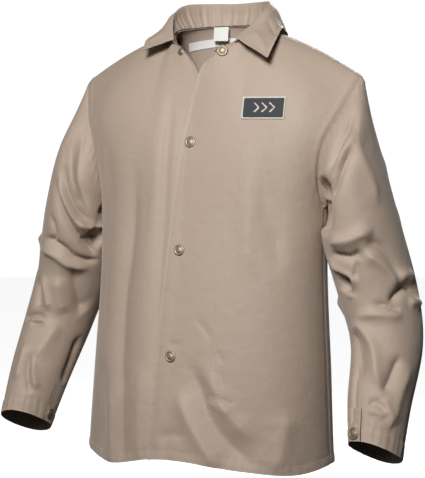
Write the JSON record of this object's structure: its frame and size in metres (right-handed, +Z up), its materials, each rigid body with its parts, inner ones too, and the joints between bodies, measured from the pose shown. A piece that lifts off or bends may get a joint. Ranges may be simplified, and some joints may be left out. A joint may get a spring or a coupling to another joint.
{
  "type": "welding_jacket",
  "caption": "Khaki flame-resistant cotton welding jacket with snap front, turned-down collar, snapped cuff vents, chest patch and inside pocket",
  "frame": {"origin": "middle of the neck opening, between the shoulder seams, level with the back neck seam", "axes": "+Z up, +X towards the wearer's left, -Y towards the front of the jacket"},
  "size_m": [0.7414, 0.276, 0.7669],
  "materials": {
    "jacket_cloth": "matt cotton sateen, khaki",
    "snap_metal": "aged brass, satin",
    "label_cloth": "plain woven label",
    "patch_cloth": "embroidered patch, charcoal with a pale edge"
  },
  "bodies": {
    "torso": {"back_panel": "jacket_cloth", "left_front_upper": "jacket_cloth", "right_front_upper": "jacket_cloth", "left_facing_upper": "jacket_cloth", "right_facing_upper": "jacket_cloth", "collar_stand": "jacket_cloth", "collar_back": "jacket_cloth", "size_tag": "label_cloth", "neck_label": "label_cloth", "chest_patch": "patch_cloth", "neck_snap_cap": "snap_metal", "neck_snap_socket": "snap_metal", "neck_snap_stud": "snap_metal", "neck_snap_post": "snap_metal", "chest_snap_cap": "snap_metal", "chest_snap_socket": "snap_metal", "chest_snap_stud": "snap_metal", "chest_snap_post": "snap_metal"},
    "left_front": {"left_front_lower": "jacket_cloth", "left_facing_lower": "jacket_cloth", "inside_pocket": "jacket_cloth", "waist_snap_cap": "snap_metal", "waist_snap_socket": "snap_metal", "hem_snap_cap": "snap_metal", "hem_snap_socket": "snap_metal"},
    "right_front": {"right_front_lower": "jacket_cloth", "right_facing_lower": "jacket_cloth", "waist_snap_stud": "snap_metal", "waist_snap_post": "snap_metal", "hem_snap_stud": "snap_metal", "hem_snap_post": "snap_metal"},
    "left_arm": {"left_sleeve_upper": "jacket_cloth"},
    "right_arm": {"right_sleeve_upper": "jacket_cloth"},
    "left_forearm": {"left_sleeve_lower": "jacket_cloth", "left_cuff_snap_stud": "snap_metal", "left_cuff_snap_post": "snap_metal"},
    "right_forearm": {"right_sleeve_lower": "jacket_cloth", "right_cuff_snap_stud": "snap_metal", "right_cuff_snap_post": "snap_metal"},
    "left_cuff": {"left_cuff_flap": "jacket_cloth", "left_cuff_snap_cap": "snap_metal", "left_cuff_snap_socket": "snap_metal"},
    "right_cuff": {"right_cuff_flap": "jacket_cloth", "right_cuff_snap_cap": "snap_metal", "right_cuff_snap_socket": "snap_metal"},
    "left_collar": {"collar_left": "jacket_cloth"},
    "right_collar": {"collar_right": "jacket_cloth"}
  },
  "joints": [
    {"name": "left_front_open", "type": "hinge", "parent": "torso", "child": "left_front", "pos_m": [0.186, -0.1015, -0.515], "axis": [0, 0.108, 0.9941], "range_deg": [0, 60]},
    {"name": "right_front_open", "type": "hinge", "parent": "torso", "child": "right_front", "pos_m": [-0.186, -0.1015, -0.515], "axis": [0, -0.108, -0.9941], "range_deg": [0, 60]},
    {"name": "left_shoulder", "type": "hinge", "parent": "torso", "child": "left_arm", "pos_m": [0.262, 0, -0.09], "axis": [0, -1, 0], "range_deg": [0, 60]},
    {"name": "right_shoulder", "type": "hinge", "parent": "torso", "child": "right_arm", "pos_m": [-0.262, 0, -0.09], "axis": [0, 1, 0], "range_deg": [0, 60]},
    {"name": "left_elbow", "type": "hinge", "parent": "left_arm", "child": "left_forearm", "pos_m": [0.313, -0.025, -0.522], "axis": [-0.9945, 0, -0.1045], "range_deg": [0, 60]},
    {"name": "right_elbow", "type": "hinge", "parent": "right_arm", "child": "right_forearm", "pos_m": [-0.313, -0.025, -0.522], "axis": [-0.9945, 0, 0.1045], "range_deg": [0, 60]},
    {"name": "left_collar_turn", "type": "hinge", "parent": "torso", "child": "left_collar", "pos_m": [0.071, -0.031, -0.006], "axis": [-0.3512, -0.6995, -0.6224], "range_deg": [0, 90]},
    {"name": "right_collar_turn", "type": "hinge", "parent": "torso", "child": "right_collar", "pos_m": [-0.071, -0.031, -0.006], "axis": [-0.3512, 0.6995, 0.6224], "range_deg": [0, 90]},
    {"name": "left_cuff_open", "type": "hinge", "parent": "left_forearm", "child": "left_cuff", "pos_m": [0.2798, -0.1049, -0.6475], "axis": [0.202, -0.3959, -0.8958], "range_deg": [0, 60]},
    {"name": "right_cuff_open", "type": "hinge", "parent": "right_forearm", "child": "right_cuff", "pos_m": [-0.3, -0.0599, -0.6825], "axis": [0.1549, 0.4438, 0.8826], "range_deg": [0, 60]}
  ]
}
